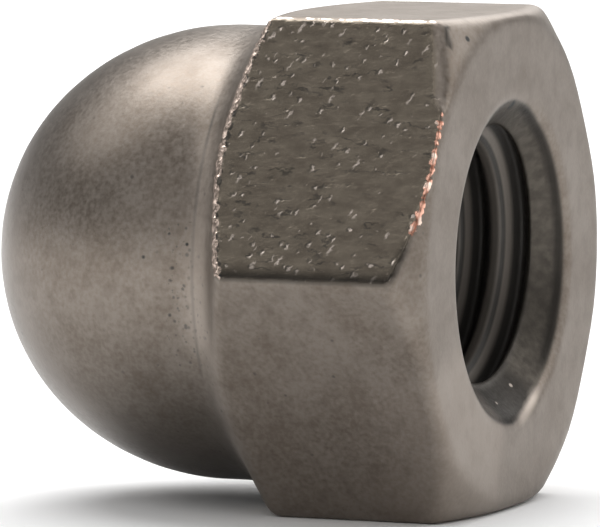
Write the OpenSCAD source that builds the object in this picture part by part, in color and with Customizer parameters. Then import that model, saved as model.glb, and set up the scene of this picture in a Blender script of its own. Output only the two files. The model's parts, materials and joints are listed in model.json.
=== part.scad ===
// Domed cap nut, lying on one of its six flats.
// The thread's axis runs along X and the mouth opens towards +X. The origin is on the surface that the
// nut rests on, below the middle of its length. All sizes are in millimetres and degrees.

/* [Hexagon] */
// Width across the flats
across_flats = 17; // [15:0.1:21]
// Height of the hexagon, measured at its dome-side edge circle
hex_h = 8; // [6:0.1:9.6]
// How far the six ridges are turned back from a sharp corner
ridge_trim = 0.06; // [0:0.02:0.5]
// Distance from the flats in to the outer edge of the seat
seat_inset = 0.05; // [0:0.05:1.5]
// Angle of the corner chamfer at the seat
seat_chamfer = 32; // [15:1:40]
// Distance from the flats in to the dome-side edge circle
crown_inset = 0.4; // [0:0.05:1]
// Angle of the corner chamfer at the dome
crown_chamfer = 31; // [15:1:40]

/* [Dome] */
// Length from the seat to the top of the dome
overall_l = 18.4; // [17:0.1:24]
// Distance from the flats in to the side of the dome
dome_step = 0.65; // [0.3:0.05:2]
// How much longer the dome's curve is than its radius
dome_stretch = 0.38; // [0:0.02:1.2]
// Radius of the fillet between the dome and the hexagon
root_fillet = 0.9; // [0.2:0.1:1.5]

/* [Thread] */
// Nominal diameter of the internal thread
thread_d = 10; // [8:0.1:12]
// Pitch of the thread
thread_pitch = 1.5; // [1:0.05:1.75]
// Distance from the thread's nominal diameter out to the edge of the countersunk mouth
mouth_flare = 0.5; // [0.1:0.05:1]
// Full angle of the countersunk mouth
mouth_angle = 90; // [80:1:130]
// Full angle of the drill point at the bottom of the hole
drill_point = 118; // [90:1:140]
// Thickness of the dome's wall over the drill point
crown_wall = 2; // [1.5:0.1:5]
// Length of the relief that ends the thread, with its two sloping ends
relief_l = 5; // [2.6:0.1:6]
// Distance from the thread's nominal diameter out to the relief's wall
relief_depth = 0.25; // [0.1:0.05:0.5]
// Length of plain wall between the relief and the drill point
relief_land = 0.3; // [0.2:0.1:2]

/* [Hidden] */
$fn = 128;

// How far cutting shapes run past the faces that they cut
overcut = 1;

// Radii of the hexagon's corners and of its two chamfer circles
corner_r = across_flats / 2 / cos(30);
seat_r = across_flats / 2 - seat_inset;
crown_r = across_flats / 2 - crown_inset;

// The dome's outline is two tangent arcs on a short straight neck. The side arc's centre lies twice the
// stretch beyond the axis and the nose arc's centre one and a half stretches above the neck, so the arcs
// meet in the 4:3 direction out from the nose arc's centre.
dome_r = across_flats / 2 - dome_step;
neck_top_z = overall_l - dome_r - dome_stretch;
side_arc_r = dome_r + 2 * dome_stretch;
nose_arc_r = dome_r - dome_stretch / 2;
nose_arc_z = neck_top_z + 1.5 * dome_stretch;
arcs_meet_z = nose_arc_z + 0.6 * nose_arc_r;

// The root fillet is tangent to the neck and to the dome-side chamfer. It leaves a little of the neck
// straight, and its radius is a whole number of hundredths of a millimetre.
shortest_neck = 0.1;
neck_base_z = crown_cone_z(dome_r);
fillet_reach = tan((90 - crown_chamfer) / 2);
fillet_limit = (neck_top_z - shortest_neck - neck_base_z) / fillet_reach;
fillet_r = floor(100 * min(root_fillet, fillet_limit)) / 100;
fillet_z = neck_base_z + fillet_r * fillet_reach;

// The hole is cut to the thread's minor diameter and its depth follows from the wall left over its point
thread_height = 5 / 8 * thread_pitch * cos(30);
bore_r = thread_d / 2 - thread_height;
mouth_r = thread_d / 2 + mouth_flare;
mouth_slope = tan(mouth_angle / 2);
point_l = bore_r / tan(drill_point / 2);
bore_l = overall_l - crown_wall - point_l;
relief_r = thread_d / 2 + relief_depth;
relief_slope_l = relief_r - bore_r;

// Height of the seat-side chamfer cone at a radius
function seat_cone_z(r) = (r - seat_r) * tan(seat_chamfer);

// Height of the dome-side chamfer cone at a radius
function crown_cone_z(r) = hex_h - (r - crown_r) * tan(crown_chamfer);

// Hexagon with its flats square to X and its ridges turned back
module trimmed_hexagon() {
    intersection() {
        rotate(30)
            circle(r = corner_r, $fn = 6);
        circle(r = corner_r - ridge_trim);
    }
}

// Half section of the hexagon's two corner chamfers, the neck, and the fillet between them
module hexagon_and_neck_section() {
    rim_r = corner_r + overcut;
    fillet_centre = [dome_r + fillet_r, fillet_z];
    centre_to_cone = fillet_r * [sin(crown_chamfer), cos(crown_chamfer)];
    difference() {
        polygon([
            [0, 0],
            [seat_r, 0],
            [rim_r, seat_cone_z(rim_r)],
            [rim_r, crown_cone_z(rim_r)],
            fillet_centre - centre_to_cone,
            fillet_centre,
            [dome_r, fillet_z],
            [dome_r, neck_top_z],
            [0, neck_top_z]
        ]);
        translate(fillet_centre)
            circle(r = fillet_r);
    }
}

// Half section of the dome above the neck
module dome_section() {
    intersection() {
        translate([-2 * dome_stretch, neck_top_z])
            circle(r = side_arc_r);
        translate([0, neck_top_z])
            square([dome_r + overcut, arcs_meet_z - neck_top_z]);
    }
    intersection() {
        translate([0, nose_arc_z])
            circle(r = nose_arc_r);
        translate([0, arcs_meet_z])
            square([dome_r, dome_r]);
    }
}

// Blind threaded hole: countersunk mouth, wall at the thread's minor diameter, relief, drill point
module threaded_hole() {
    translate([0, 0, -overcut]) {
        cylinder(r = bore_r, h = bore_l + overcut);
        cylinder(
            r1 = mouth_r + overcut * mouth_slope,
            r2 = bore_r,
            h = overcut + (mouth_r - bore_r) / mouth_slope
        );
    }
    translate([0, 0, bore_l])
        cylinder(r1 = bore_r, r2 = 0, h = point_l);
    translate([0, 0, bore_l - relief_land - relief_l])
        thread_relief();
}

// Groove where the threading tool runs out, with both ends sloping at 45 degrees
module thread_relief() {
    cylinder(r1 = bore_r, r2 = relief_r, h = relief_slope_l);
    translate([0, 0, relief_slope_l])
        cylinder(r = relief_r, h = relief_l - 2 * relief_slope_l);
    translate([0, 0, relief_l - relief_slope_l])
        cylinder(r1 = relief_r, r2 = bore_r, h = relief_slope_l);
}

// The whole nut standing on its seat, with the thread's axis along Z
module standing_nut() {
    difference() {
        intersection() {
            linear_extrude(height = overall_l + overcut)
                trimmed_hexagon();
            rotate_extrude() {
                hexagon_and_neck_section();
                dome_section();
            }
        }
        threaded_hole();
    }
}

// The nut laid on a flat, with its mouth towards +X
module cap_nut() {
    color([0.47, 0.43, 0.39])
        translate([overall_l / 2, 0, across_flats / 2])
            rotate([0, -90, 0])
                standing_nut();
}

cap_nut();
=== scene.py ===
"""Domed cap nut lying on one of its flats: the detailed nut, its materials, a pale floor and soft light.

The nut is modelled in millimetres in its own terms: r is the distance from the thread's axis, a is the angle
round it (0 along +Y, 90 degrees along +Z), and d is the depth behind the seat, towards the dome.
"""

import json
import math
import random

import bpy
import numpy as np
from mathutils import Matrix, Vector, noise


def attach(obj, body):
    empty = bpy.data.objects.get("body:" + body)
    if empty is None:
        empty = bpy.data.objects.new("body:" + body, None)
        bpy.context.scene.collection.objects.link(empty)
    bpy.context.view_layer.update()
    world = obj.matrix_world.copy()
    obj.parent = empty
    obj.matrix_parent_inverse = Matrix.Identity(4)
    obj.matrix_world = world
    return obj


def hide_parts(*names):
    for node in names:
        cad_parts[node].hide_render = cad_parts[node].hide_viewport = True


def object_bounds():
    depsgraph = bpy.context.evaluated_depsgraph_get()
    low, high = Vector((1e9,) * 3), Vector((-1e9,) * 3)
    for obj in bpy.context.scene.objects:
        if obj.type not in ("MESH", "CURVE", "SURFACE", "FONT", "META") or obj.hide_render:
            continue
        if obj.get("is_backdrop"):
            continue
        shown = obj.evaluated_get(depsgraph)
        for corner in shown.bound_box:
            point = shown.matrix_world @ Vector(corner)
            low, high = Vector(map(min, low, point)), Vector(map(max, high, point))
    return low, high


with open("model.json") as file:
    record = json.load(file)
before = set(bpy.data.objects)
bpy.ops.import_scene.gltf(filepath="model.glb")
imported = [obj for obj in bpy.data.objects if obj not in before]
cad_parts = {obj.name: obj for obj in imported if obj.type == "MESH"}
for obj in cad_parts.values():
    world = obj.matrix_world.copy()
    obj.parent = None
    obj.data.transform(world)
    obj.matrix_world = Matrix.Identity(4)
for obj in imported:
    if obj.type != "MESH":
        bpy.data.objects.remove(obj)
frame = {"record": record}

MM = 0.001
NUT_NODE = "cap_nut"

# ---------------------------------------------------------------------------------------------------------
# Sizes that the frame gives
# ---------------------------------------------------------------------------------------------------------
BOX_LOW, BOX_HIGH = (Vector(corner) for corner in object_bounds())
MOUNTS = {mount["name"]: mount for mount in frame["record"]["mounts"]}

SEAT_X = BOX_HIGH.x / MM
AXIS_Z = MOUNTS["thread"]["pos_m"][2] / MM
OVERALL_L = (BOX_HIGH.x - BOX_LOW.x) / MM
HALF_FLATS = (BOX_HIGH.z - BOX_LOW.z) / MM / 2
BORE_R = MOUNTS["thread"]["dims"]["r_mm"]

# ---------------------------------------------------------------------------------------------------------
# The nut's other sizes, as in the construction model
# ---------------------------------------------------------------------------------------------------------
HEX_H = 8.0
SEAT_R = HALF_FLATS - 0.05
CROWN_R = HALF_FLATS - 0.4
SEAT_CHAMFER = math.radians(32)
CROWN_CHAMFER = math.radians(31)

DOME_R = HALF_FLATS - 0.65
DOME_STRETCH = 0.38
ROOT_FILLET = 0.9
NECK_TOP = OVERALL_L - DOME_R - DOME_STRETCH
SIDE_ARC_R = DOME_R + 2 * DOME_STRETCH
NOSE_ARC_R = DOME_R - DOME_STRETCH / 2
NOSE_ARC_D = NECK_TOP + 1.5 * DOME_STRETCH
ARCS_MEET_D = NOSE_ARC_D + 0.6 * NOSE_ARC_R

THREAD_R = 5.0
PITCH = 1.5
ROOT_L = PITCH / 8
MOUTH_R = THREAD_R + 0.5
MOUTH_SLOPE = math.tan(math.radians(45))
COUNTERSINK_D = (MOUTH_R - BORE_R) / MOUTH_SLOPE
POINT_SLOPE = math.tan(math.radians(59))
HOLE_END = OVERALL_L - 2.0
POINT_START = HOLE_END - BORE_R / POINT_SLOPE
RELIEF_R = THREAD_R + 0.25
RELIEF_END = POINT_START - 0.3
RELIEF_START = RELIEF_END - 5.0
THREAD_END = RELIEF_START + RELIEF_R - BORE_R

# How softly faces run into each other: the width over which each kind of edge is rounded
SOFT_EDGE = 0.4
CRISP_EDGE = 0.1
RIDGE_EDGE = 0.2
LIP_EDGE = 0.22
THREAD_EDGE = 0.08

# How deep the thread's first root lies at angle 0
FIRST_ROOT_D = 1.54

# The flat that kept its glossy pitted skin faces the camera and up, at this angle round the axis
SKIN_ANGLE = math.radians(150)

# How far each kind of surface takes to fade out: the skin, the band of painted shade along its lower ridge,
# the burrs on its two curved edges, the painted highlight on its upper ridge, the plain strip in place of
# its upper mouth-side edge, and the hole, its countersink and its thread. The dome-side burrs reach less far
# off the skin.
SKIN_FADE = 0.05
SHADE_FADE = 0.12
BURR_W = 0.24
FRINGE_SIDE = 0.75
RIDGE_HIGHLIGHT_W = 0.16
BLEND_W = 0.28
HOLE_FADE = 0.1
COUNTERSINK_FADE = 0.3
TURNS_FADE = 0.4

# Across the skin's flat: its mouth-side edge is plain above the first of these, painted with beads of orange
# reflection down to the second, and painted in shade below, with ACROSS_FADE between them. The band of
# painted shade along its lower ridge starts at SHADE_TOP.
ORANGE_GLINT_TOP = -1.8
ORANGE_GLINT_LOW = 3.3
ACROSS_FADE = 0.6
SHADE_TOP = 4.3
SHADE_FULL = 4.72

# The mouth's lip: the width of its line of painted shade inside and of its painted highlight outside, how
# far each lies from the edge, how much further in the shade line lies where the lip is rolled over, how
# strongly the highlight shows, and the angles between which the lip has its painted highlight and its
# painted shade and the lower countersink is painted in shade
LIP_W = 0.14
LIP_OFFSET = 0.08
LIP_ROLL = 0.22
LIP_SHINE = 0.85
LIP_BRIGHT = (math.radians(-79), math.radians(-66))
LIP_DARK = (math.radians(-45), math.radians(75))
COUNTERSINK_SHADE = (math.radians(-150), math.radians(-65))

# Painted light: the nut is painted a little paler beside its lower mouth-side edge, between these angles
LOWER_LIGHT = (math.radians(-152), math.radians(-105))
LOWER_LIGHT_W = 3.0
LOWER_LIGHT_SHARE = 0.24

# A line of painted shade for the crevice beside the skin's upper mouth-side corner: its two ends and half
# its width
CREVICE = ((119.9, 9.5, 0.66), (123.5, 9.2, 0.47), 0.07)

# Dark specks at the dome's root: where they are thickest, how far they reach, and between which angles
ROOT_SPECK_D = 8.85
ROOT_SPECK_W = 0.9
ROOT_SPECK_A = (math.radians(175), math.radians(198))

# A window of angles fades out over WINDOW_FADE. The dome's smoother finish starts at DOME_MASK_D, and the
# painted shade on its underside at the depth after it. Both come in over FINISH_FADE.
WINDOW_FADE = math.radians(8)
DOME_MASK_D = 8.4
UNDER_SHADE_D = 7.8
FINISH_FADE = 0.5

# The fillet at the dome's root is painted paler as painted light, and a thin line of painted shadow follows
# its dome-side end
FILLET_A = (math.radians(150), math.radians(196))
FILLET_PAINTED_LIGHT = 0.36
SHADOW_LINE_D = 8.58
SHADOW_LINE_W = 0.075
SHADOW_LINE_A = (math.radians(140), math.radians(200))

# The skin's waves, ripples and pits
CORNER_HALF = HALF_FLATS * math.tan(math.pi / 6)
WAVE_H = 0.012
WAVE_SIZES = (0.9, 0.5, 1)
RIPPLE_H = 0.004
RIPPLE_SIZES = (0.4, 0.24, 1)
PIT_SEED = 11
PIT_COUNT = 110
PIT_CROWDING = 0.8
PIT_SIZES = (0.1, 0.22)
PIT_STRETCH = (0.7, 1.8)
PIT_SHAPES = (0.07, 0.06, 0.05, -0.05)

# Burrs along the skin's curved edges, and the tumbled surface's shallow dents
BURR_LUMP = 0.16
MOUTH_BURR_H = 0.05
DOME_BURR_H = 0.09
DENT_H = 0.006
DENT_SIZE = 0.9
REST_FADE = 0.5

# ---------------------------------------------------------------------------------------------------------
# The mesh's fineness
# ---------------------------------------------------------------------------------------------------------
SKIN_COLUMNS = 150
PLAIN_COLUMNS = 20
SEAT_ROWS = 20
CHAMFER_ROWS = 8
FLAT_ROWS = 124
FILLET_ROWS = 8
NECK_ROWS = 5
DOME_ROWS = 20
LIP_L = 0.2
LIP_ROWS = 5
TURN_ROWS = 16
DEEP_ROWS = 6
WELD_STEP = 1e-4
WELD_OFFSET = 1.23e-5


# ---------------------------------------------------------------------------------------------------------
# The nut's surface, as distances that are negative in the metal
# ---------------------------------------------------------------------------------------------------------
def smooth_max(a, b, width):
    """The larger of a and b, with the step between them rounded where they are less than width apart."""
    overlap = np.maximum(width - np.abs(a - b), 0) / width
    return np.maximum(a, b) + overlap * overlap * width / 4


def smooth_min(a, b, width):
    """The smaller of a and b, rounded like smooth_max."""
    return -smooth_max(-a, -b, width)


def skin_share(a):
    """1 in the sector of the pitted flat, falling to 0 just past its two ridges."""
    off = np.abs((a - SKIN_ANGLE + math.pi) % (2 * math.pi) - math.pi)
    return np.clip((math.radians(31) - off) / math.radians(2), 0, 1)


def upper_share(across):
    """1 in the upper part of the pitted flat, where its mouth-side edge is soft and plain."""
    return np.clip(0.5 - (across - ORANGE_GLINT_TOP) / ACROSS_FADE, 0, 1)


def hexagon_distance(r, a):
    """Distance outside the six flats, with soft ridges."""
    turn = (a - math.pi / 6) % (math.pi / 3)
    from_flat = np.minimum(turn, math.pi / 3 - turn)
    near = r * np.cos(from_flat) - HALF_FLATS
    far = r * np.cos(math.pi / 3 - from_flat) - HALF_FLATS
    return smooth_max(near, far, RIDGE_EDGE)


def dome_distance(r, d):
    """Distance outside the neck and the dome's two arcs."""
    side = np.hypot(r + 2 * DOME_STRETCH, d - NECK_TOP) - SIDE_ARC_R
    nose = np.hypot(r, d - NOSE_ARC_D) - NOSE_ARC_R
    arcs = np.where(d < ARCS_MEET_D, side, nose)
    return np.where(d < NECK_TOP, r - DOME_R, arcs)


def mouth_end_distance(r, d):
    """Distance outside the seat and its chamfer."""
    seat_cone = ((r - SEAT_R) * math.tan(SEAT_CHAMFER) - d) * math.cos(SEAT_CHAMFER)
    return smooth_max(-d, seat_cone, SOFT_EDGE / 2)


def crown_distance(r, d):
    """Distance outside the cone of the dome-side chamfer."""
    return ((r - CROWN_R) * math.tan(CROWN_CHAMFER) + d - HEX_H) * math.cos(CROWN_CHAMFER)


def dome_end_distance(r, d):
    """Distance outside the dome-side chamfer, the dome, and the fillet between them."""
    return smooth_min(crown_distance(r, d), dome_distance(r, d), ROOT_FILLET)


def fillet_share(r, d):
    """1 in the middle of the fillet at the dome's root, falling to 0 at its edges."""
    return np.clip(1.4 * (1 - np.abs(crown_distance(r, d) - dome_distance(r, d)) / ROOT_FILLET), 0, 1)


def outside_distance(r, a, d):
    """Distance outside the nut's outer surface, without its hole."""
    crisp = skin_share(a)
    upper = upper_share(r * np.sin(a) * math.cos(SKIN_ANGLE) - r * np.cos(a) * math.sin(SKIN_ANGLE))
    mouth_edge = SOFT_EDGE + (CRISP_EDGE - SOFT_EDGE) * crisp * (1 - upper)
    dome_edge = SOFT_EDGE + (CRISP_EDGE - SOFT_EDGE) * crisp
    hexagon = smooth_max(hexagon_distance(r, a), mouth_end_distance(r, d), mouth_edge)
    return smooth_max(hexagon, dome_end_distance(r, d), dome_edge)


def thread_radius(a, d):
    """Radius of the right-hand thread's wall: flat crest, 60 degree flanks and a narrow flat root."""
    turn = ((d - FIRST_ROOT_D) / PITCH + a / (2 * math.pi) + 0.5) % 1.0
    from_root = np.abs(turn - 0.5) * PITCH
    flank = np.maximum(from_root - ROOT_L / 2, 0) / math.tan(math.radians(30))
    return np.where(d < THREAD_END, np.maximum(THREAD_R - flank, BORE_R), BORE_R)


def relief_radius(d):
    """Radius of the groove behind the thread, which slopes at 45 degrees at both ends."""
    return BORE_R + np.clip(np.minimum(d - RELIEF_START, RELIEF_END - d), 0, RELIEF_R - BORE_R)


def wall_radius(a, d):
    """Radius of the hole's wall: countersunk mouth, thread, relief and drill point."""
    wall = np.maximum(thread_radius(a, d), relief_radius(d))
    wall = np.maximum(wall, MOUTH_R - d * MOUTH_SLOPE)
    return np.minimum(wall, np.maximum(HOLE_END - d, 0) * POINT_SLOPE)


def hole_distance(r, a, d):
    """Distance inside the hole's wall."""
    mouth = (MOUTH_R - d * MOUTH_SLOPE - r) * math.cos(math.atan(MOUTH_SLOPE))
    groove = np.maximum(thread_radius(a, d), relief_radius(d)) - r
    point = ((HOLE_END - d) * POINT_SLOPE - r) * math.cos(math.atan(POINT_SLOPE))
    return np.minimum(smooth_max(mouth, groove, THREAD_EDGE), point)


def surface_distance(points):
    """Distance outside the metal at each point, given as rows of y, z and d."""
    y, z, d = points.T
    r, a = np.hypot(y, z), np.arctan2(z, y)
    return smooth_max(outside_distance(r, a, d), hole_distance(r, a, d), LIP_EDGE)


def surface_slope(points, step=1e-4):
    """Gradient of surface_distance at each point."""
    shifts = step * np.eye(3)
    ahead = [surface_distance(points + shift) - surface_distance(points - shift) for shift in shifts]
    return np.stack(ahead, axis=1) / (2 * step)


def settle(points, rounds=6):
    """Moves points onto the surface along its gradient."""
    for _ in range(rounds):
        slope = surface_slope(points)
        size = np.maximum((slope * slope).sum(axis=1), 0.2)
        points = points - slope * (surface_distance(points) / size)[:, None]
    return points


# ---------------------------------------------------------------------------------------------------------
# Wear and texture: where each kind lies, and how far it raises or sinks the surface, in millimetres
# ---------------------------------------------------------------------------------------------------------
def near(distance, reach):
    """1 on a face, falling to 0 where the face lies reach away."""
    return np.clip(1 + distance / reach, 0, 1)


def window(a, start, end):
    """1 between two angles, falling to 0 outside them."""
    return np.clip(1 + np.minimum(a - start, end - a) / WINDOW_FADE, 0, 1)


def stroke(points, start, end, width):
    """1 along a straight line between two places, each given as an angle in degrees, r and d."""
    (a, r, d), (b, s, e) = start, end
    first = np.array([r * math.cos(math.radians(a)), r * math.sin(math.radians(a)), d])
    along = np.array([s * math.cos(math.radians(b)), s * math.sin(math.radians(b)), e]) - first
    share = np.clip((points - first) @ along / (along @ along), 0, 1)
    away = np.linalg.norm(points - first - share[:, None] * along, axis=1)
    return np.clip(2 - away / width, 0, 1)


def skin_place(points):
    """Along, across and distance outside for the pitted flat. Across grows downwards."""
    y, z, d = points.T
    out = y * math.cos(SKIN_ANGLE) + z * math.sin(SKIN_ANGLE) - HALF_FLATS
    across = z * math.cos(SKIN_ANGLE) - y * math.sin(SKIN_ANGLE)
    return d, across, out


def skin_masks(points, mouth_side, dome_side):
    """The skin, its burrs, its painted ridge highlight and orange reflection, the plain strip, and its
    painted shade band.
    """
    along, across, out = skin_place(points)
    upper = upper_share(across)
    lower = np.clip(0.5 + (across - ORANGE_GLINT_LOW) / ACROSS_FADE, 0, 1)
    blend = upper * near(mouth_side, BLEND_W)
    skin = near(out, SKIN_FADE) * (1 - blend)
    mouth_burr = near(out, BURR_W) * near(mouth_side, BURR_W)
    low_band = near(out, SHADE_FADE) * np.clip((across - SHADE_TOP) / (SHADE_FULL - SHADE_TOP), 0, 1)
    crowding = 0.14 + 0.45 * (along / HEX_H) ** 2 + 0.25 * (across / CORNER_HALF) ** 2
    return {
        "skin": skin,
        "mouth_burr": mouth_burr,
        "dome_burr": near(out, BURR_W * FRINGE_SIDE) * near(dome_side, BURR_W),
        # Painted orange reflection along the mouth-side burr
        "orange_glints": mouth_burr * (1 - upper) * (1 - lower),
        # Painted highlight along the upper ridge
        "ridge": np.clip(1 - np.hypot(across + CORNER_HALF, out) / RIDGE_HIGHLIGHT_W, 0, 1),
        "pitted": skin * crowding,
        "strip": blend * near(out, BLEND_W / 2),
        "band": np.maximum(low_band, lower * mouth_burr),
    }


def mouth_masks(r, a, d):
    """The hole, its countersink and thread, painted shade on the lip and lower countersink, and a painted
    lip highlight.
    """
    past_lip = hole_distance(r, a, d) - outside_distance(r, a, d) - LIP_ROLL * np.clip(2 * np.cos(a), 0, 1)
    hole = np.clip(past_lip / HOLE_FADE + 0.5, 0, 1)
    countersink = hole * np.clip((COUNTERSINK_D - d) / COUNTERSINK_FADE, 0, 1)
    dark_line = np.clip(1.4 - np.abs(past_lip - LIP_OFFSET) / LIP_W, 0, 1)
    bright_line = np.clip(1.4 - np.abs(past_lip + LIP_OFFSET) / LIP_W, 0, 1)
    return {
        "hole": hole,
        "countersink": countersink,
        "threaded": hole - countersink,
        "turns": (hole - countersink) * np.clip((THREAD_END - d) / TURNS_FADE, 0, 1),
        # Painted shade on the lip and in the lower countersink
        "lip_shade": np.maximum(dark_line * window(a, *LIP_DARK), countersink * window(a, *COUNTERSINK_SHADE)),
        # Painted highlight on the lip
        "lip_highlight": LIP_SHINE * bright_line * window(a, *LIP_BRIGHT),
    }


def wear_masks(points):
    """How much each point belongs to each kind of surface."""
    y, z, d = points.T
    r, a = np.hypot(y, z), np.arctan2(z, y)
    full_a = a % (2 * math.pi)
    mouth_side, dome_side = mouth_end_distance(r, d), dome_end_distance(r, d)
    masks = skin_masks(points, mouth_side, dome_side) | mouth_masks(r, a, d)
    # Painted light beside the lower mouth-side edge
    lower_light = LOWER_LIGHT_SHARE * near(mouth_side, LOWER_LIGHT_W) * window(a, *LOWER_LIGHT)
    off_skin = 1 - near(skin_place(points)[2], BURR_W)
    # Painted light on the fillet at the dome's root
    fillet = FILLET_PAINTED_LIGHT * fillet_share(r, d) * window(full_a, *FILLET_A) * off_skin
    # A plain pale strip, and painted light on the lip, by the lower mouth-side edge and on the fillet
    masks["pale"] = np.maximum.reduce([masks.pop("strip"), masks.pop("lip_highlight"), lower_light, fillet])
    # Painted shade: the band along the skin's lower ridge, the lip, the lower countersink and the crevice
    masks["shade"] = np.maximum.reduce([masks.pop("band"), masks.pop("lip_shade"), stroke(points, *CREVICE)])
    root = np.clip(1 - np.abs(d - ROOT_SPECK_D) / ROOT_SPECK_W, 0, 1)
    masks["root"] = root * window(full_a, *ROOT_SPECK_A)
    # Where the thin line of painted shadow round the dome's root may show
    masks["shadow_line"] = window(full_a, *SHADOW_LINE_A) * (1 - masks["hole"])
    masks["dome"] = np.clip((d - DOME_MASK_D) / FINISH_FADE, 0, 1)
    # Painted shade on the dome's underside
    masks["under"] = np.clip((d - UNDER_SHADE_D) / FINISH_FADE, 0, 1) * np.clip(-z / DOME_R, 0, 1)
    return masks


def rough_noise(points, sizes, seed):
    """Smooth noise from about -1 to 1 whose lumps have these sizes along the three axes."""
    scaled = points / np.array(sizes) + seed
    return np.array([noise.noise(place) for place in scaled.tolist()])


def pits(along, across):
    """Depth of the pitted flat's scattered pits, less the height of its few pimples."""
    dice = random.Random(PIT_SEED)
    depth = np.zeros_like(along)
    for _ in range(PIT_COUNT):
        u = HEX_H * (1 - dice.random() ** PIT_CROWDING)
        v = CORNER_HALF * (2 * dice.random() ** (1 / PIT_CROWDING) - 1)
        size = dice.uniform(*PIT_SIZES)
        stretch = dice.uniform(*PIT_STRETCH)
        sink = size * dice.choice(PIT_SHAPES)
        off = ((along - u) / (size * stretch)) ** 2 + ((across - v) / size) ** 2
        depth += sink * np.exp(-off * 2)
    return depth


def raised(points, masks):
    """How far the surface stands out from its plain shape."""
    height = np.zeros(len(points))
    skin = masks["skin"] > 0
    along, across, _ = skin_place(points[skin])
    flat = np.stack([along, across, np.zeros_like(along)], axis=1)
    waves = WAVE_H * rough_noise(flat, WAVE_SIZES, 3.1) + RIPPLE_H * rough_noise(flat, RIPPLE_SIZES, 8.7)
    height[skin] += masks["skin"][skin] * (waves - pits(along, across))
    for name, tall, seed in (("mouth_burr", MOUTH_BURR_H, 1.7), ("dome_burr", DOME_BURR_H, 5.3)):
        edge = masks[name] > 0
        lumps = rough_noise(points[edge], (BURR_LUMP,) * 3, seed) + 0.15
        height[edge] += tall * masks[name][edge] * lumps
    plain = (masks["skin"] < 1) & (masks["hole"] < 1)
    share = (1 - masks["skin"][plain]) * (1 - masks["hole"][plain])
    share *= np.clip((points[plain, 1] + HALF_FLATS) / REST_FADE, 0, 1)
    height[plain] += DENT_H * share * rough_noise(points[plain], (DENT_SIZE,) * 3, 2.2)
    return height


# ---------------------------------------------------------------------------------------------------------
# The mesh's rows and columns
# ---------------------------------------------------------------------------------------------------------
def spread(count, ends):
    """count + 1 numbers from 0 to 1. The larger ends is, the closer they are near both ends."""
    u = np.linspace(-1, 1, count + 1)
    return ((1 - ends) * u + ends * np.sin(math.pi / 2 * u) + 1) / 2


def column_angles():
    """Angles of the columns, which are densest on the pitted flat and near the ridges."""
    angles = []
    for side in range(6):
        centre = math.radians(30 + 60 * side)
        pitted = abs(centre - SKIN_ANGLE) < 0.1
        across = spread(SKIN_COLUMNS, 0.3) if pitted else spread(PLAIN_COLUMNS, 0.9)
        offsets = np.arctan((2 * across - 1) * math.tan(math.pi / 6))
        angles.extend(centre + offsets[:-1])
    return np.array(angles + [2 * math.pi])


def ruled(start, end, fractions):
    """Rows of (r, d) on straight lines from start to end, each given for every column."""
    return [tuple((1 - f) * s + f * e for s, e in zip(start, end)) for f in fractions]


def outer_rows(a):
    """Rows of (r, d) from the mouth's lip over the seat, the hexagon and the dome to its top."""
    one = np.ones_like(a)
    turn = a % (math.pi / 3)
    corner_r = HALF_FLATS / np.cos(turn - math.pi / 6)
    lip, rim = (MOUTH_R * one, 0 * one), (SEAT_R * one, 0 * one)
    low = (corner_r, (corner_r - SEAT_R) * math.tan(SEAT_CHAMFER))
    high = (corner_r, HEX_H - (corner_r - CROWN_R) * math.tan(CROWN_CHAMFER))
    rows = ruled(lip, rim, spread(SEAT_ROWS, 0.8)) + ruled(rim, low, spread(CHAMFER_ROWS, 0.5))[1:]
    rows += ruled(low, high, spread(FLAT_ROWS, 0.35))[1:]

    neck_base = HEX_H - (DOME_R - CROWN_R) * math.tan(CROWN_CHAMFER)
    fillet_d = neck_base + ROOT_FILLET * math.tan((math.pi / 2 - CROWN_CHAMFER) / 2)
    swing = np.linspace(math.pi / 2 - CROWN_CHAMFER, 0, FILLET_ROWS + 1)
    fillet_r = DOME_R + ROOT_FILLET
    fillet = [
        ((fillet_r - ROOT_FILLET * math.cos(t)) * one, (fillet_d - ROOT_FILLET * math.sin(t)) * one)
        for t in swing
    ]
    rows += ruled(high, fillet[0], spread(CHAMFER_ROWS, 0.5))[1:] + fillet[1:]
    rows += ruled(fillet[-1], (DOME_R * one, NECK_TOP * one), np.linspace(0, 1, NECK_ROWS + 1))[1:]
    return rows + dome_rows(one)


def dome_rows(one):
    """Rows of (r, d) on the dome's side arc and nose arc."""
    meet = math.asin((ARCS_MEET_D - NECK_TOP) / SIDE_ARC_R)
    rows = [
        ((SIDE_ARC_R * math.cos(t) - 2 * DOME_STRETCH) * one, (NECK_TOP + SIDE_ARC_R * math.sin(t)) * one)
        for t in np.linspace(0, meet, DOME_ROWS + 1)[1:]
    ]
    nose = np.linspace(math.asin(0.6), math.pi / 2, DOME_ROWS + 1)[1:]
    rows += [(NOSE_ARC_R * math.cos(t) * one, (NOSE_ARC_D + NOSE_ARC_R * math.sin(t)) * one) for t in nose]
    rows[-1] = (0 * one, OVERALL_L * one)
    return rows


def inner_rows(a):
    """Rows of (r, d) from the mouth's lip to the drill point. Rows in the thread follow its helix."""
    one = np.ones_like(a)
    mouth = [(wall_radius(a, d * one), d * one) for d in np.linspace(0, LIP_L, LIP_ROWS + 1)]
    turns = np.arange(0, (THREAD_END / PITCH + 1) * TURN_ROWS + 1) / TURN_ROWS
    depths = [np.clip(PITCH * (t - a / (2 * math.pi)), LIP_L, THREAD_END) for t in turns]
    thread = [(wall_radius(a, d), d) for d in depths]
    stops = [THREAD_END, RELIEF_END - (RELIEF_R - BORE_R), RELIEF_END, POINT_START, HOLE_END]
    deep = np.concatenate([spread(DEEP_ROWS, 0.5)[1:] * (b - t) + t for t, b in zip(stops, stops[1:])])
    return mouth + thread + [(wall_radius(a, d * one), d * one) for d in deep]


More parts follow.
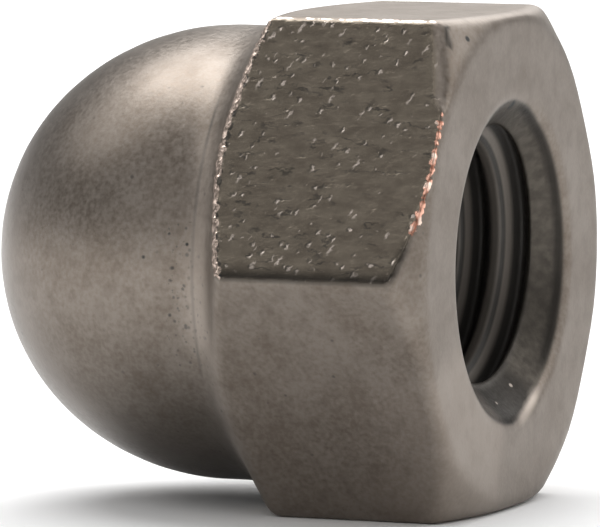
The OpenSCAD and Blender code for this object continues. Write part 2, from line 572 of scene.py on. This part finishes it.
def row_points(rows, a):
    """Array of points, one row of y, z, d for each row and column."""
    return np.array([np.stack([r * np.cos(a), r * np.sin(a), d], axis=1) for r, d in rows])


def grid_quads(points, flip):
    """The four corners of every cell of a grid of points."""
    low, high = points[:-1], points[1:]
    corners = [low[:, :-1], low[:, 1:], high[:, 1:], high[:, :-1]]
    quads = np.stack(corners[::-1] if flip else corners, axis=2)
    return quads.reshape(-1, 4, 3)


def welded(quads):
    """Points and faces of the quads, with equal corners joined and cells without area left out."""
    keys = np.round((quads.reshape(-1, 3) + WELD_OFFSET) / WELD_STEP).astype(np.int64)
    _, first, index = np.unique(keys, axis=0, return_index=True, return_inverse=True)
    points = quads.reshape(-1, 3)[first]
    faces = []
    for quad in index.reshape(-1, 4).tolist():
        corners = [c for i, c in enumerate(quad) if c != quad[i - 1]]
        if len(set(corners)) == len(corners) > 2:
            faces.append(corners)
    return points, faces


# ---------------------------------------------------------------------------------------------------------
# The nut
# ---------------------------------------------------------------------------------------------------------
def placed(points):
    """Points in metres in the shared frame."""
    y, z, d = points.T
    return np.stack([SEAT_X - d, y, AXIS_Z + z], axis=1) * MM


def make_nut():
    """The nut as one mesh, in place of the construction solid."""
    a = column_angles()
    outside = grid_quads(row_points(outer_rows(a), a), flip=True)
    inside = grid_quads(row_points(inner_rows(a), a), flip=False)
    points, faces = welded(np.concatenate([outside, inside]))
    points = settle(points)
    masks = wear_masks(points)
    slope = surface_slope(points)
    normal = slope / np.maximum(np.linalg.norm(slope, axis=1), 1e-6)[:, None]
    points = points + normal * raised(points, masks)[:, None]
    mesh = bpy.data.meshes.new("nut_body")
    mesh.from_pydata(placed(points).tolist(), [], faces)
    mesh.polygons.foreach_set("use_smooth", [True] * len(mesh.polygons))
    for name, mask in masks.items():
        mesh.attributes.new(name, "FLOAT", "POINT").data.foreach_set("value", mask)
    nut = bpy.data.objects.new("nut_body", mesh)
    bpy.context.scene.collection.objects.link(nut)
    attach(nut, "root")
    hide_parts(NUT_NODE)
    return nut


# ---------------------------------------------------------------------------------------------------------
# Camera
# ---------------------------------------------------------------------------------------------------------
CAMERA_AIM = Vector((1.154, 0.427, 8.128)) * MM
CAMERA_AZIMUTH = 21.908
CAMERA_ELEVATION = 5.329
CAMERA_DISTANCE = 0.27579
CAMERA_LENS = 480
CAMERA_SENSOR = 36


def towards(azimuth, elevation):
    """The direction from the nut towards an azimuth, 0 along -Y and 90 along +X, and an elevation."""
    a, e = math.radians(azimuth), math.radians(elevation)
    return Vector((math.sin(a) * math.cos(e), -math.cos(a) * math.cos(e), math.sin(e)))


def make_camera():
    """The camera, with a long lens, at the photograph's viewing angle."""
    camera = bpy.data.objects.new("camera", bpy.data.cameras.new("camera"))
    bpy.context.scene.collection.objects.link(camera)
    back = towards(CAMERA_AZIMUTH, CAMERA_ELEVATION)
    camera.location = CAMERA_AIM + back * CAMERA_DISTANCE
    camera.rotation_euler = back.to_track_quat("Z", "Y").to_euler()
    camera.data.lens = CAMERA_LENS
    camera.data.sensor_width = CAMERA_SENSOR
    camera.data.clip_start = 0.01
    camera.data.clip_end = 10
    bpy.context.scene.camera = camera


# ---------------------------------------------------------------------------------------------------------
# Floor and light
# ---------------------------------------------------------------------------------------------------------
FLOOR_R = 0.8
SWEEP_R = 0.1
SWEEP_ROWS = 12
FLOOR_SIDES = 96
FLOOR_COLOUR = (0.93, 0.93, 0.93, 1)
WORLD_STRENGTH = 0.38

# Name, azimuth and elevation of the lamp as seen from the nut, width, and strength
LAMPS = (
    ("key", -135, 65, 40, 1.9),
    ("back", 180, 40, 40, 1.7),
    ("right", 125, 32, 40, 0.78),
    ("left", -90, 50, 40, 0.5),
    ("front", 10, 45, 40, 0.2),
    ("fill", -25, 24, 40, 0.09),
)


def swept_disc():
    """Points and faces of a round floor that sweeps up at its rim."""
    swing = np.linspace(0, math.pi / 2, SWEEP_ROWS + 1)
    rim = [(FLOOR_R + SWEEP_R * math.sin(t), SWEEP_R * (1 - math.cos(t))) for t in swing]
    profile = [(FLOOR_R / 2, 0.0)] + rim
    turns = [2 * math.pi * i / FLOOR_SIDES for i in range(FLOOR_SIDES)]
    points, faces = [(0.0, 0.0, 0.0)], []
    for r, z in profile:
        points += [(r * math.cos(turn), r * math.sin(turn), z) for turn in turns]
    for i in range(FLOOR_SIDES):
        j = (i + 1) % FLOOR_SIDES
        faces.append((0, 1 + i, 1 + j))
        for row in range(len(profile) - 1):
            low, high = 1 + row * FLOOR_SIDES, 1 + (row + 1) * FLOOR_SIDES
            faces.append((low + i, high + i, high + j, low + j))
    return points, faces


def floor_paint():
    """The floor's dull pale material."""
    material = bpy.data.materials.new("pale_floor")
    material.use_nodes = True
    shader = material.node_tree.nodes["Principled BSDF"]
    shader.inputs["Base Color"].default_value = FLOOR_COLOUR
    shader.inputs["Roughness"].default_value = 1.0
    shader.inputs["Specular IOR Level"].default_value = 0.0
    return material


def make_floor():
    """The floor under the nut."""
    points, faces = swept_disc()
    mesh = bpy.data.meshes.new("floor")
    mesh.from_pydata(points, [], faces)
    mesh.polygons.foreach_set("use_smooth", [True] * len(mesh.polygons))
    mesh.materials.append(floor_paint())
    floor = bpy.data.objects.new("floor", mesh)
    bpy.context.scene.collection.objects.link(floor)
    floor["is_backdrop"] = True


def make_light():
    """Broad soft lamps and a dim even world."""
    for name, azimuth, elevation, width, strength in LAMPS:
        lamp = bpy.data.objects.new(name, bpy.data.lights.new(name, "SUN"))
        bpy.context.scene.collection.objects.link(lamp)
        lamp.data.energy = strength
        lamp.data.angle = math.radians(width)
        lamp.rotation_euler = towards(azimuth, elevation).to_track_quat("Z", "Y").to_euler()
    world = bpy.data.worlds.new("studio")
    world.use_nodes = True
    background = world.node_tree.nodes["Background"]
    background.inputs["Color"].default_value = (1, 1, 1, 1)
    background.inputs["Strength"].default_value = WORLD_STRENGTH
    bpy.context.scene.world = world
    bpy.context.scene.view_settings.view_transform = "Standard"


# ---------------------------------------------------------------------------------------------------------
# Material
# ---------------------------------------------------------------------------------------------------------
STEEL_LIGHT = (0.23, 0.2, 0.173, 1)
STEEL_DARK = (0.165, 0.137, 0.113, 1)
STAIN_COLOUR = (0.09, 0.068, 0.05, 1)
SKIN_LIGHT = (0.25, 0.213, 0.168, 1)
SKIN_DARK = (0.182, 0.153, 0.121, 1)
SHADE_COLOUR = (0.03, 0.027, 0.024, 1)
# Dark marks, and the painted pit shadows and shadow line
MARK_AND_SHADOW_COLOUR = (0.035, 0.037, 0.037, 1)
COUNTERSINK_LIGHT = (0.089, 0.079, 0.067, 1)
COUNTERSINK_DARK = (0.062, 0.055, 0.047, 1)
CREST_COLOUR = (0.11, 0.097, 0.084, 1)
# Painted highlight on one flank of the thread, and painted shade in its groove
FLANK_HIGHLIGHT_COLOUR = (0.175, 0.154, 0.133, 1)
GROOVE_SHADE_COLOUR = (0.042, 0.038, 0.034, 1)
HOLE_COLOUR = (0.09, 0.08, 0.07, 1)
# The plain pale strip and painted light
PALE_AND_PAINTED_LIGHT_COLOUR = (0.55, 0.48, 0.42, 1)
# Painted glints
GLINT_COLOUR = (0.68, 0.59, 0.52, 1)
# Pale paint for the glints on the dome-side burr
FRINGE_GLINT_COLOUR = (0.62, 0.5, 0.43, 1)
FRINGE_DARK = (0.3, 0.24, 0.2, 1)
# Painted highlight on the upper ridge
RIDGE_HIGHLIGHT_COLOUR = (0.8, 0.69, 0.62, 1)
# Painted orange reflection on the mouth-side burr
ORANGE_GLINT = (1.0, 0.56, 0.42, 1)
ORANGE_GLINT_DARK = (0.35, 0.15, 0.1, 1)
ORANGE_GLINT_PALE = (1.0, 0.78, 0.66, 1)
DULL_EDGE = (0.72, 0.72, 0.72, 1)

# How strongly each kind of wear, painted shade and painted light shows
STAIN_SHARE = 0.28
GRIME_SHARE = 0.75
SHADOW_LINE_SHARE = 0.55
UNDER_SHADE_SHARE = 0.6
SHADE_SHARE = 0.9
PALE_AND_PAINTED_LIGHT_SHARE = 0.75
BRIGHT_SPOT_SHARE = 0.4
BITE_SHARE = 0.7

# Roughness of the tumbled steel, of its smoother dome and of the skin. The thread is a little dusty.
SATIN = (0.42, 0.54)
DOME_SATIN = (0.32, 0.42)
SKIN_ROUGHNESS = 0.24
THREAD_METAL = 0.35
BUMP_DEPTH = 0.00002

# Scattered marks: the skin's painted glints, specks and streaks, with a painted pit shadow beside each
# speck, and dark dots and grime at the dome's root; their cells a millimetre, and the largest one's size as
# a share of a cell
SPECK_CELLS = 2.4
SPECK_SIZE = 0.24
STREAK_CELLS = 1.2
STREAK_SIZE = 0.2
STREAK_SHARE = 0.9
STREAK_STRETCH = (0.55, 2.0, 1)
SPECK_STRETCH = (0.75, 1.4, 1)
SPECK_TURN = math.radians(-60)
PIT_SHADOW_SHIFT = (0.0, -0.11, 0)
PIT_SHADOW_SIZE = 0.36
DOT_CELLS = 4.2
DOT_SIZE = 0.44
GRIME_CELLS = 6.5
GRIME_SIZE = 0.62

# How finely and how far the skin's marks are bent, and how far from its middle value the noise may be
# where a crack follows it
WARP_CELLS = 7.0
WARP = 0.22
CRACK_W = 0.018

# How large an edge's mask and the noise have to be together for its paint to show
FRINGE_REACH = 1.57
RIDGE_HIGHLIGHT_REACH = 1.65
ORANGE_GLINT_REACH = 1.74

# Single small marks in the mouth, beside it and on the dome: angle, distance from the axis, depth, and size
DARK_PITS = (
    (117, 8.8, 0.22, 0.14),
    (88.6, 5.34, 0.16, 0.24),
    (176.5, 7.9, 10.4, 0.1),
    (173, 7.85, 8.8, 0.09),
)
# Bright spots, painted in the glint colour
BRIGHT_SPOTS = ((-69, 4.74, 0.76, 0.1), (-90, 4.86, 0.64, 0.08))

# The thread's colours along one turn from crest to crest, with the root in the middle: painted shade in the
# groove and a painted highlight on one flank
THREAD_BANDS = (
    (0.11, CREST_COLOUR),
    (0.14, GROOVE_SHADE_COLOUR),
    (0.66, GROOVE_SHADE_COLOUR),
    (0.72, FLANK_HIGHLIGHT_COLOUR),
    (0.78, FLANK_HIGHLIGHT_COLOUR),
    (0.81, GROOVE_SHADE_COLOUR),
    (0.85, GROOVE_SHADE_COLOUR),
    (0.89, CREST_COLOUR),
)


class Shader:
    """Adds nodes to a material and links them."""

    def __init__(self, name):
        self.material = bpy.data.materials.new(name)
        self.material.use_nodes = True
        self.nodes = self.material.node_tree.nodes
        self.links = self.material.node_tree.links
        self.surface = self.nodes["Principled BSDF"]

    def node(self, kind, inputs, **settings):
        """The outputs of a new node, whose inputs are set to values or linked to other outputs."""
        made = self.nodes.new(kind)
        for key, value in settings.items():
            setattr(made, key, value)
        for key, value in inputs.items():
            self.put(made.inputs[key], value)
        return made.outputs

    def add(self, kind, inputs, output=0, **settings):
        """One output of a new node."""
        return self.node(kind, inputs, **settings)[output]

    def put(self, socket, value):
        """Sets a socket to a value, or links it to an output."""
        if isinstance(value, bpy.types.NodeSocket):
            self.links.new(value, socket)
        else:
            socket.default_value = value

    def mask(self, name):
        """A mesh attribute's value."""
        return self.add("ShaderNodeAttribute", {}, output=2, attribute_name=name)

    def noise(self, place, scale, detail=2.0, stretch=(1, 1, 1)):
        """Noise from 0 to 1, with scale lumps a millimetre, stretched along the axes."""
        moved = self.add("ShaderNodeVectorMath", {0: place, 1: stretch}, operation="MULTIPLY")
        return self.add("ShaderNodeTexNoise", {"Vector": moved, "Scale": scale, "Detail": detail})

    def noise_vector(self, place, scale):
        """Three numbers from 0 to 1 that vary with scale lumps a millimetre."""
        return self.add("ShaderNodeTexNoise", {"Vector": place, "Scale": scale, "Detail": 1.0}, output=1)

    def span(self, value, low, high, to_low=0.0, to_high=1.0):
        """value from low to high, mapped to to_low and to_high and held there."""
        inputs = {"Value": value, "From Min": low, "From Max": high, "To Min": to_low, "To Max": to_high}
        return self.add("ShaderNodeMapRange", inputs)

    def blend(self, share, first, second):
        """A colour between first and second."""
        inputs = {"Factor": share, 6: first, 7: second}
        return self.add("ShaderNodeMix", inputs, output=2, data_type="RGBA")

    def math(self, operation, first, second):
        """A number made from two."""
        return self.add("ShaderNodeMath", {0: first, 1: second}, operation=operation)

    def vector(self, operation, first, second):
        """A vector made from two."""
        return self.add("ShaderNodeVectorMath", {0: first, 1: second}, operation=operation)

    def turned(self, place, angles):
        """Coordinates turned about the three axes."""
        return self.add("ShaderNodeMapping", {"Vector": place, "Rotation": angles})

    def mix(self, share, first, second):
        """A number between first and second."""
        return self.add("ShaderNodeMix", {"Factor": share, 2: first, 3: second}, data_type="FLOAT")

    def spots(self, place, cells, size, share, space="3D"):
        """Soft spots of different sizes, cells a millimetre, of which share are there."""
        cell = self.node("ShaderNodeTexVoronoi", {"Vector": place, "Scale": cells}, voronoi_dimensions=space)
        pick, large, _ = self.node("ShaderNodeSeparateColor", {0: cell["Color"]})
        reach = self.span(large, 0, 1, size * 0.35, size)
        soft = self.span(self.math("SUBTRACT", reach, cell["Distance"]), 0, size * 0.6)
        return self.math("MULTIPLY", soft, self.math("LESS_THAN", pick, share))

    def single(self, place, marks):
        """1 in each of the single marks."""
        found = 0.0
        for angle, r, depth, size in marks:
            a = math.radians(angle)
            centre = (SEAT_X - depth, r * math.cos(a), AXIS_Z + r * math.sin(a))
            away = self.add("ShaderNodeVectorMath", {0: place, 1: centre}, output=1, operation="DISTANCE")
            found = self.math("MAXIMUM", found, self.span(away, size, size * 0.5))
        return found


def cracks(s, plane):
    """Short fine wavy cracks, mostly along the flat."""
    course = s.noise(plane, 1.1, 3.0, stretch=(0.45, 1.5, 1))
    line = s.span(s.math("ABSOLUTE", s.math("SUBTRACT", course, 0.5), 0), CRACK_W, CRACK_W / 3)
    return s.math("MULTIPLY", line, s.span(s.noise(plane, 0.8, 1.0, stretch=(1, 2.5, 1)), 0.52, 0.6))


def pitted_skin(s, place):
    """Colour and height of the skin, with painted glints, painted pit shadows beside them, dark smears and
    cracks.
    """
    plane = s.turned(place, (math.pi / 2 - SKIN_ANGLE, 0, 0))
    bent = s.vector("ADD", plane, s.vector("MULTIPLY", s.noise_vector(plane, WARP_CELLS), (WARP, WARP, 0)))
    slanted = s.turned(bent, (0, 0, SPECK_TURN))
    amount = s.mask("pitted")
    grains = s.vector("MULTIPLY", slanted, SPECK_STRETCH)
    # Painted glints: small bright specks and slanted streaks
    specks = s.spots(grains, SPECK_CELLS, SPECK_SIZE, amount, "2D")
    streaked = s.vector("MULTIPLY", slanted, STREAK_STRETCH)
    streaks = s.spots(streaked, STREAK_CELLS, STREAK_SIZE, s.math("MULTIPLY", amount, STREAK_SHARE), "2D")
    bright = s.math("MAXIMUM", specks, streaks)
    # Painted pit shadows, just beside the glints
    pit_shadows = s.spots(s.vector("ADD", grains, PIT_SHADOW_SHIFT), SPECK_CELLS, PIT_SHADOW_SIZE, amount, "2D")
    smears = s.span(s.noise(bent, 2.2, 3.0, stretch=(0.6, 1.6, 1)), 0.4, 0.3)
    # Painted pit shadows together with dark smears; both also sink the bump
    dark = s.math("MAXIMUM", s.math("MULTIPLY", pit_shadows, 0.5), s.math("MULTIPLY", smears, 0.45))
    mottle = s.noise(plane, 1.8, 6.0, stretch=(0.7, 1.4, 1))
    colour = s.blend(s.span(mottle, 0.36, 0.64), SKIN_DARK, SKIN_LIGHT)
    colour = s.blend(s.math("MAXIMUM", dark, s.math("MULTIPLY", cracks(s, bent), 0.6)), colour, MARK_AND_SHADOW_COLOUR)
    colour = s.blend(bright, colour, GLINT_COLOUR)
    leather = s.math("MULTIPLY", s.noise(plane, 3.2, 2.5, stretch=(0.7, 1.3, 1)), 1.5)
    return colour, s.math("SUBTRACT", leather, s.math("MULTIPLY", dark, 0.35))


def thread_shade_bands(s, place):
    """Painted shade in the grooves, lighter crests and a painted highlight on one flank, along the thread's
    helix.
    """
    axes = s.nodes.new("ShaderNodeSeparateXYZ")
    s.put(axes.inputs[0], place)
    x, y, z = axes.outputs
    angle = s.math("ARCTAN2", s.math("SUBTRACT", z, AXIS_Z), y)
    depth = s.math("SUBTRACT", SEAT_X - FIRST_ROOT_D + PITCH / 2, x)
    turn = s.math("ADD", s.math("DIVIDE", depth, PITCH), s.math("DIVIDE", angle, 2 * math.pi))
    ramp = s.nodes.new("ShaderNodeValToRGB")
    s.put(ramp.inputs[0], s.math("FRACT", turn, 0))
    bands = ramp.color_ramp.elements
    while len(bands) < len(THREAD_BANDS):
        bands.new(0.5)
    for band, (position, colour) in zip(bands, THREAD_BANDS):
        band.position, band.color = position, colour
    return ramp.outputs[0]


def painted_shadow_line(s, place):
    """A thin broken line of painted shadow at the dome-side end of the root fillet."""
    x = s.node("ShaderNodeSeparateXYZ", {0: place})[0]
    away = s.math("ABSOLUTE", s.math("SUBTRACT", x, SEAT_X - SHADOW_LINE_D), 0)
    away = s.math("ADD", away, s.math("MULTIPLY", s.noise(place, 2.5, 3.0), SHADOW_LINE_W))
    return s.math("MULTIPLY", s.span(away, SHADOW_LINE_W * 1.9, SHADOW_LINE_W * 0.6), s.mask("shadow_line"))


def tumbled(s, place, grain):
    """Colour of the bare steel, with its soft mottling and stains."""
    blotch = s.noise(place, 0.45, 4.0)
    share = s.span(s.math("ADD", blotch, s.math("MULTIPLY", grain, 1.2)), 0.82, 1.34)
    colour = s.blend(share, STEEL_DARK, STEEL_LIGHT)
    stains = s.span(s.noise(place, 1.6, 6.0), 0.48, 0.7)
    return s.blend(s.math("MULTIPLY", stains, STAIN_SHARE), colour, STAIN_COLOUR)


def dome_marks(s, place, colour, skin):
    """Adds dark dots, which crowd at the dome's root, the painted shadow line round it, and painted shade
    underneath.
    """
    root = s.mask("root")
    dots = s.spots(place, DOT_CELLS, DOT_SIZE, s.math("ADD", root, 0.03))
    strength = s.math("SUBTRACT", s.span(root, 0, 1, 0.45, 0.85), skin)
    colour = s.blend(s.math("MULTIPLY", dots, strength), colour, MARK_AND_SHADOW_COLOUR)
    grime = s.spots(place, GRIME_CELLS, GRIME_SIZE, s.math("MULTIPLY", root, 0.7))
    colour = s.blend(s.math("MULTIPLY", grime, GRIME_SHARE), colour, MARK_AND_SHADOW_COLOUR)
    # Painted shadow line round the dome's root
    colour = s.blend(s.math("MULTIPLY", painted_shadow_line(s, place), SHADOW_LINE_SHARE), colour, MARK_AND_SHADOW_COLOUR)
    # Painted shade on the underside
    return s.blend(s.math("MULTIPLY", s.mask("under"), UNDER_SHADE_SHARE), colour, SHADE_COLOUR)


def hole_marks(s, place, colour):
    """Adds the hole's colours: plain wall, the thread's painted shade and highlight, and scraped
    countersink.
    """
    colour = s.blend(s.mask("hole"), colour, HOLE_COLOUR)
    colour = s.blend(s.mask("turns"), colour, thread_shade_bands(s, place))
    scraped = s.span(s.noise(place, 3.0, 4.0, stretch=(0.5, 1, 1)), 0.36, 0.64)
    bare = s.blend(scraped, COUNTERSINK_DARK, COUNTERSINK_LIGHT)
    return s.blend(s.mask("countersink"), colour, bare)


def edge_marks(s, place, colour, skin):
    """Adds the skin's ragged edges: a burr fringe painted pale for its glints, a painted ridge highlight,
    and painted orange reflection.
    """
    fine = s.noise(place, 4.5, 3.0)
    fringe_edge = s.mask("dome_burr")
    bites = s.math("ADD", fringe_edge, s.math("MULTIPLY", s.noise(place, 5.0, 2.0), 1.6))
    bitten = s.math("MULTIPLY", s.span(bites, 1.0, 1.2), s.span(fringe_edge, 0.0, 0.1))
    bitten = s.math("MULTIPLY", bitten, s.math("MULTIPLY", skin, BITE_SHARE))
    colour = s.blend(bitten, colour, MARK_AND_SHADOW_COLOUR)
    thick = s.math("MULTIPLY", s.noise(place, 2.2, 1.0), 1.1)
    # Pale paint for the glints on the dome-side burr
    fringe = s.blend(s.span(s.noise(place, 8.0, 1.0), 0.42, 0.56), FRINGE_DARK, FRINGE_GLINT_COLOUR)
    # Beads of painted orange reflection
    beads = s.blend(s.span(fine, 0.44, 0.6), ORANGE_GLINT_DARK, ORANGE_GLINT)
    beads = s.blend(s.span(thick, 0.6, 0.72), beads, ORANGE_GLINT_PALE)
    edges = (
        ("dome_burr", fringe, FRINGE_REACH),
        ("ridge", RIDGE_HIGHLIGHT_COLOUR, RIDGE_HIGHLIGHT_REACH),
        ("orange_glints", beads, ORANGE_GLINT_REACH),
    )
    for name, tone, reach in edges:
        edge = s.mask(name)
        ragged = s.math("ADD", s.math("ADD", edge, thick), s.math("MULTIPLY", fine, 1.3))
        painted = s.math("MULTIPLY", s.span(ragged, reach, reach + 0.15), s.span(edge, 0.02, 0.1))
        colour = s.blend(painted, colour, tone)
    return colour


def steel():
    """Tumbled stainless steel, with a glossy dark pitted skin on one flat, and painted highlights, glints
    and shade.
    """
    s = Shader("tumbled_steel")
    place = s.add("ShaderNodeTexCoord", {}, output=3)
    place = s.add("ShaderNodeVectorMath", {0: place, "Scale": 1 / MM}, operation="SCALE")
    skin = s.mask("skin")
    grain = s.noise(place, 6.0, 3.0)

    pitted, pit_height = pitted_skin(s, place)
    colour = s.blend(skin, tumbled(s, place, grain), pitted)
    colour = dome_marks(s, place, colour, skin)
    colour = hole_marks(s, place, colour)
    # Painted shade
    colour = s.blend(s.math("MULTIPLY", s.mask("shade"), SHADE_SHARE), colour, SHADE_COLOUR)
    # The plain pale strip and painted light
    colour = s.blend(s.math("MULTIPLY", s.mask("pale"), PALE_AND_PAINTED_LIGHT_SHARE), colour, PALE_AND_PAINTED_LIGHT_COLOUR)
    colour = s.blend(s.single(place, DARK_PITS), colour, MARK_AND_SHADOW_COLOUR)
    # Bright spots in the glint colour
    colour = s.blend(s.math("MULTIPLY", s.single(place, BRIGHT_SPOTS), BRIGHT_SPOT_SHARE), colour, GLINT_COLOUR)
    colour = edge_marks(s, place, colour, skin)

    satin = s.mix(s.mask("dome"), s.span(grain, 0.3, 0.7, *SATIN), s.span(grain, 0.3, 0.7, *DOME_SATIN))
    powder = s.math("MULTIPLY", s.noise(place, 9.0, 4.0), 0.25)
    height = s.math("ADD", powder, s.math("MULTIPLY", pit_height, skin))
    bump = s.add("ShaderNodeBump", {"Height": height, "Strength": 1.0, "Distance": BUMP_DEPTH})
    s.put(s.surface.inputs["Base Color"], colour)
    s.put(s.surface.inputs["Roughness"], s.mix(skin, satin, SKIN_ROUGHNESS))
    s.put(s.surface.inputs["Normal"], bump)
    s.put(s.surface.inputs["Specular Tint"], s.blend(s.mask("hole"), (1, 1, 1, 1), DULL_EDGE))
    s.put(s.surface.inputs["Metallic"], s.mix(s.mask("threaded"), 1.0, THREAD_METAL))
    return s.material


# ---------------------------------------------------------------------------------------------------------
# The scene
# ---------------------------------------------------------------------------------------------------------
make_camera()
make_floor()
make_light()
nut = make_nut()
nut.data.materials.append(steel())
